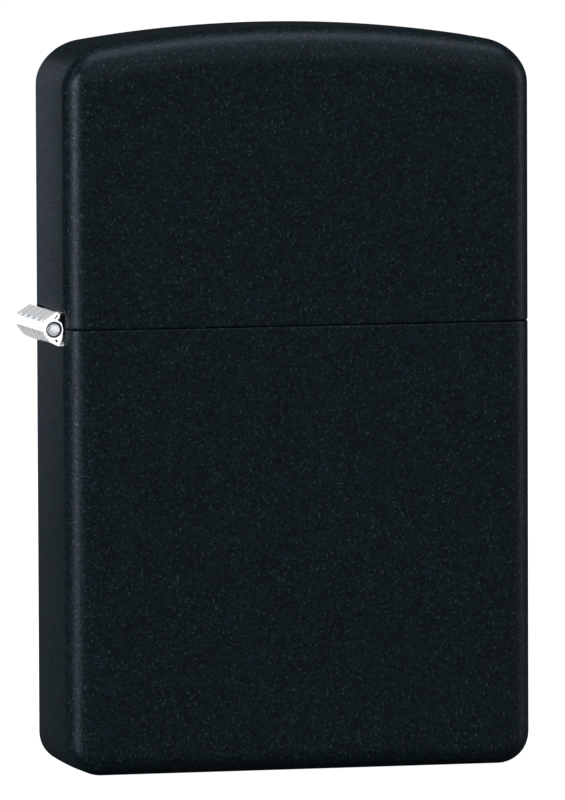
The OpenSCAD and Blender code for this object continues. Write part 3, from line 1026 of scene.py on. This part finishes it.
def wick_pieces(cotton, copper):
    """The braided wick: a core, two crossing sets of strands and a few copper wires."""
    outer = (WICK_HIGH.x - WICK_LOW.x) / 2
    radius = outer - STRAND_R - OVER_UNDER
    half = STRANDS // 2
    core = [
        (CORE_END_R, WICK_LOW.z),
        (CORE_R, WICK_LOW.z + CORE_END),
        (CORE_R, WICK_HIGH.z - CORE_TOP_DOWN),
        (CORE_END_R, WICK_HIGH.z - CORE_END),
    ]
    solids = [turned("z", core, WICK_X, count=12)]
    for index in range(STRANDS):
        way = 1 if index < half else -1
        top = WICK_HIGH.z - STRAND_R - STRAND_FRAY * (index % 3)
        path = strand_path(index % half, half, way, radius, OVER_UNDER * way, top)
        solids.append(swept(path, STRAND_R))
    braid = mesh_piece("wick_braid", *gather(solids), cotton, 60)
    wire_radius = outer - COPPER_R - COPPER_SINK
    wire_top = WICK_HIGH.z - COPPER_TOP_DOWN
    paths = [strand_path(index + 0.5, COPPER_WIRES, 1, wire_radius, 0, wire_top)
             for index in range(COPPER_WIRES)]
    wires = gather([swept(path, COPPER_R, 5) for path in paths])
    return braid, mesh_piece("wick_wires", *wires, copper, 60)


LAYER_ROUND = 0.7
LAYER_CORNER_R = 1.25
LAYER_VOXEL = 0.45
LAYER_STEPS = 4
LUMP_WIDTH = 2.5


def soft_layer(name, node, lump, holes, material):
    """A layer of wadding or felt: rounded over, pierced, and lumpy within its own box."""
    low, high = node_box(node)
    middle = (low + high) / 2
    rings = []
    turns = [math.pi / 2 * i / LAYER_STEPS for i in range(LAYER_STEPS + 1)]
    edge = min(LAYER_ROUND, (high.z - low.z) / 3)
    levels = [(1 - math.sin(t), low.z + edge * (1 - math.cos(t))) for t in turns]
    levels += [(1 - math.cos(t), high.z - edge * (1 - math.sin(t))) for t in turns]
    for back, z in levels:
        inset = edge * back
        width, depth = high.x - low.x - 2 * inset, high.y - low.y - 2 * inset
        rings.append([(x, y, z) for x, y in round_rect(width, depth, LAYER_CORNER_R, middle.x)])
    piece = mesh_piece(name, *skin(rings), material)
    combine(piece, [bar("z", circle(r, x, 0), low.z - PAST, high.z + PAST) for x, r in holes])
    mod = piece.modifiers.new("voxels", "REMESH")
    mod.mode = "VOXEL"
    mod.voxel_size = LAYER_VOXEL * MM
    apply_modifiers(piece)
    for vertex in piece.data.vertices:
        where = Vector(vertex.co) / MM
        broad = 0.5 + 0.5 * noise.noise(where / LUMP_WIDTH)
        fine = 0.5 + 0.5 * noise.noise(where)
        vertex.co -= vertex.normal * (lump * broad + lump / 2 * fine) * MM
    return finished(piece, 80)


# ---- Build ----

LID_HALF = Half(up=1, cap_z=CASE_H, rim_z=SPLIT_Z + RIM_CLEAR,
                radius_x=3.3, radius_y=2.6, height_side=2.9, height_front=2.6)
BODY_HALF = Half(up=-1, cap_z=0, rim_z=SPLIT_Z - RIM_CLEAR,
                 radius_x=2.6, radius_y=1.4, height_side=2.6, height_front=1.4)

coat = powder_coat()
plating = metal("hinge_chrome", (0.88, 0.89, 0.90), (0.80, 0.81, 0.83), 0.14, 0.3, depth=0.002, edge=0.05)
steel = metal("steel_pin", (0.74, 0.74, 0.76), (0.60, 0.61, 0.63), 0.22)
sheet_steel = metal("insert_steel", (0.72, 0.72, 0.72), (0.62, 0.62, 0.63), 0.3, 0.12, (1, 1, 0.06), 0.002)
cam_steel = metal("cam_steel", (0.56, 0.56, 0.58), (0.42, 0.42, 0.44), 0.34, 0.2, (0.2, 1, 1))
spring_steel = metal("spring_steel", (0.42, 0.45, 0.50), (0.30, 0.33, 0.38), 0.28)
wheel_steel = metal("wheel_steel", (0.30, 0.29, 0.28), (0.17, 0.165, 0.16), 0.42, 0.15, depth=0.01, edge=0.08)
brass = metal("brass", (0.83, 0.62, 0.30), (0.68, 0.47, 0.20), 0.26, 0.15, (1, 1, 3))
copper = metal("wick_copper", (0.80, 0.42, 0.26), (0.55, 0.26, 0.16), 0.32, 0.1, edge=0.05)
flint_alloy = metal("flint_alloy", (0.16, 0.15, 0.14), (0.09, 0.085, 0.08), 0.6, 0.3, depth=0.02)
wick_cotton = fibre("wick_cotton", (0.74, 0.68, 0.56), (0.50, 0.43, 0.33), 0.12, (1, 1, 0.35), 0.03)
felt = fibre("felt", (0.30, 0.29, 0.28), (0.16, 0.155, 0.15), 0.15)
packing = fibre("packing_cotton", (0.86, 0.85, 0.81), (0.66, 0.64, 0.58), 0.2, depth=0.08)

install(case_half("body_shell", BODY_HALF, coat), "root", "case_paint", "case_body")
install(case_half("lid_shell", LID_HALF, coat), "lid", "case_paint", "case_lid")
for index in range(KNUCKLES):
    body, node = ("lid", "lid_hinge_leaf") if index % 2 else ("root", "body_hinge_leaf")
    install(knuckle(index, plating), body, "hinge_chrome", node)
install(hinge_leaf("body_leaf", -1, plating), "root", "hinge_chrome", "body_hinge_leaf")
install(hinge_leaf("lid_leaf", 1, plating), "lid", "hinge_chrome", "lid_hinge_leaf")
install(hinge_pin(steel), "root", "steel_pin", "hinge_pin")

install(insert_case(sheet_steel), "root", "insert_steel", "insert_shell")
install(cam_piece(cam_steel), "cam_lever", "cam_steel", "cam")
install(rivet("cam_pivot_rivet", CAM_X, CAM_Z, PIVOT_R, 1.2, 0.35, PIVOT_HIGH.y, steel),
        "root", "steel_pin", "cam_rivet")
install(spark_wheel(wheel_steel), "wheel", "wheel_steel", "flint_wheel")
install(rivet("wheel_axle", WHEEL_X, WHEEL_Z, AXLE_R, 1.8, 0.5, AXLE_HIGH.y, steel),
        "root", "steel_pin", "wheel_rivet")
coil = install(flint_coil(spring_steel), "root", "spring_steel", "flint_spring")
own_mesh(coil)
install(screw_piece(brass), "root", "brass", "flint_screw")
braid, wires = wick_pieces(wick_cotton, copper)
install(braid, "root", "wick_cotton", "wick")
install(wires, "root", "brass", "wick")

# holes in the soft layers, as (x, radius), and how lumpy the layers are
COTTON_HOLE_GAP = 0.25
FELT_HOLE_GAP = 0.3
TUBE_HOLE = (WHEEL_X, (TUBE_HIGH.x - TUBE_LOW.x) / 2 + COTTON_HOLE_GAP)
WICK_HOLE = (WICK_X, (WICK_HIGH.x - WICK_LOW.x) / 2 + COTTON_HOLE_GAP)
SCREW_HOLE = (WHEEL_X, (SCREW_HIGH.x - SCREW_LOW.x) / 2 + FELT_HOLE_GAP)
FELT_LUMP = 0.12
COTTON_LUMP = 0.3
COTTON_LAYERS = 5

pad = install(soft_layer("felt_flap", "felt_pad", FELT_LUMP, [SCREW_HOLE], felt),
              "root", "felt", "felt_pad")
for index in range(1, COTTON_LAYERS + 1):
    node = f"cotton_{index}"
    layer = soft_layer(f"wadding_{index}", node, COTTON_LUMP, [TUBE_HOLE, WICK_HOLE], packing)
    install(layer, "root", "packing_cotton", node)

FINISHES = {"insert_plate": sheet_steel, "cam_spring": spring_steel, "spring_rivet": steel,
            "flint_tube": brass, "flint": flint_alloy, "plunger_tip": brass}
for node, finish in FINISHES.items():
    for slot in frame["nodes"][node].material_slots:
        slot.material = finish


# ---- Stage, light and camera ----

FLOOR_GLOW = 1.0
FLOOR_BOUNCE = 0.2
FLOOR_REACH = 8000
FLOOR_DOWN = 0.02
WORLD_FILL = 0.03
SKY = (0.76, 0.87, 1.0)

# soft lights that face the middle of the case: name, place, size and power
SOFT_LIGHTS = [
    ("overhead", (0, -20, 640), (700, 250), 1.0),
    ("front_fill", (500, -1300, 900), (3600, 1900), 7.0),
    ("left_strip", (-468, -160, 60), (70, 420), 1.25),
    ("back_left_strip", (-110, 388, 30), (50, 300), 0.04),
    ("right_strip", (460, -60, 60), (110, 420), 0.35),
]

AZIMUTH_DEG = 14
ELEVATION_DEG = 4.47
DISTANCE = 879
ROLL = -0.004


def area_light(name, place, target, size, power, color=(1, 1, 1), only=None):
    """A rectangular light at place, in millimetres, facing target. only is the
    collection of pieces that it lights, where it doesn't light them all."""
    data = bpy.data.lights.new(name, "AREA")
    data.shape = "RECTANGLE"
    data.size, data.size_y = size[0] * MM, size[1] * MM
    data.energy = power
    data.color = color
    light = bpy.data.objects.new(name, data)
    light.location = Vector(place) * MM
    light.rotation_euler = (Vector(target) - Vector(place)).to_track_quat("-Z", "Y").to_euler()
    light.visible_camera = False
    if only:
        light.light_linking.receiver_collection = only
    bpy.context.scene.collection.objects.link(light)


def seen_or_lit(tree, seen, lit):
    """Mixes two shaders: seen where the camera looks straight at it, lit for bounced light."""
    path = tree.nodes.new("ShaderNodeLightPath")
    mix = tree.nodes.new("ShaderNodeMixShader")
    tree.links.new(path.outputs["Is Camera Ray"], mix.inputs[0])
    tree.links.new(lit, mix.inputs[1])
    tree.links.new(seen, mix.inputs[2])
    return mix.outputs[0]


def floor():
    """A white sweep, lit from within so that it stays pale, which bounces little light."""
    mesh = bpy.data.meshes.new("floor")
    reach = FLOOR_REACH * MM
    corners = [(-reach, -reach, 0), (reach, -reach, 0), (reach, reach, 0), (-reach, reach, 0)]
    mesh.from_pydata(corners, [], [(0, 1, 2, 3)])
    plane = bpy.data.objects.new("floor", mesh)
    plane.location.z = -FLOOR_DOWN * MM
    bpy.context.scene.collection.objects.link(plane)
    paper = bpy.data.materials.new("floor_paper")
    paper.use_nodes = True
    tree = paper.node_tree
    pale = tree.nodes["Principled BSDF"]
    pale.inputs["Base Color"].default_value = (0.9, 0.9, 0.9, 1)
    pale.inputs["Roughness"].default_value = 1
    pale.inputs["Specular IOR Level"].default_value = 0
    pale.inputs["Emission Color"].default_value = (1, 1, 1, 1)
    pale.inputs["Emission Strength"].default_value = FLOOR_GLOW
    dim = tree.nodes.new("ShaderNodeBsdfDiffuse")
    dim.inputs["Color"].default_value = (FLOOR_BOUNCE, FLOOR_BOUNCE, FLOOR_BOUNCE, 1)
    mixed = seen_or_lit(tree, pale.outputs[0], dim.outputs[0])
    tree.links.new(mixed, tree.nodes["Material Output"].inputs["Surface"])
    mesh.materials.append(paper)


def surroundings():
    """White where the camera looks past the object, and dim for the light that they cast."""
    world = bpy.data.worlds.new("studio")
    world.use_nodes = True
    tree = world.node_tree
    white = tree.nodes["Background"]
    white.inputs["Color"].default_value = (1, 1, 1, 1)
    dim = tree.nodes.new("ShaderNodeBackground")
    dim.inputs["Color"].default_value = (WORLD_FILL, WORLD_FILL, WORLD_FILL, 1)
    mixed = seen_or_lit(tree, white.outputs[0], dim.outputs[0])
    tree.links.new(mixed, tree.nodes["World Output"].inputs["Surface"])
    bpy.context.scene.world = world
    bpy.context.scene.view_settings.view_transform = "Standard"


def camera():
    """A long lens, a little left of the front and a little above."""
    azimuth, elevation = math.radians(AZIMUTH_DEG), math.radians(ELEVATION_DEG)
    aim = Vector((0, 0, CASE_H / 2))
    back = Vector((-math.sin(azimuth) * math.cos(elevation),
                   -math.cos(azimuth) * math.cos(elevation), math.sin(elevation)))
    data = bpy.data.cameras.new("camera")
    data.lens = 513
    data.sensor_width = 36
    data.shift_y = -0.0079
    data.clip_start = 0.01
    data.clip_end = 100
    made = bpy.data.objects.new("camera", data)
    made.location = (aim + back * DISTANCE) * MM
    level = (-back).to_track_quat("-Z", "Y").to_matrix().to_4x4()
    made.rotation_euler = (Matrix.Rotation(ROLL, 4, back) @ level).to_euler()
    bpy.context.scene.collection.objects.link(made)
    bpy.context.scene.camera = made


def lit_alone(name, chosen):
    """A collection of the object's pieces that some lights keep to."""
    group = bpy.data.collections.new(name)
    for piece in bpy.context.scene.objects:
        if piece.type == "MESH" and piece.name != "floor" and chosen(piece):
            group.objects.link(piece)
    return group


def lights():
    """Soft cool light all round, and cards that only the hinge or the bare metal sees."""
    middle = (0, 0, CASE_H / 2)
    at_hinge = (PIN_X, 0, SPLIT_Z)
    for name, place, size, power in SOFT_LIGHTS:
        area_light(name, place, middle, size, power, SKY)
    hinge = lit_alone("hinge_lit", lambda piece: piece.name.startswith("hinge_"))
    bare = lit_alone("bare_lit", lambda piece: piece.active_material not in (coat, None))
    area_light("hinge_back_card", (-60, 300, 120), at_hinge, (400, 260), 0.2, only=hinge)
    area_light("hinge_front_card", (70, -260, 40), at_hinge, (160, 80), 0.05, only=hinge)
    area_light("pale_table_card", (0, 0, 0.5), (0, 0, 100), (1000, 1000), 1.6, only=bare)
    area_light("metal_left_card", (-420, -260, 200), middle, (300, 300), 0.35, only=bare)
    area_light("metal_right_card", (420, -60, 160), middle, (260, 300), 0.2, only=bare)


floor()
camera()
surroundings()
lights()
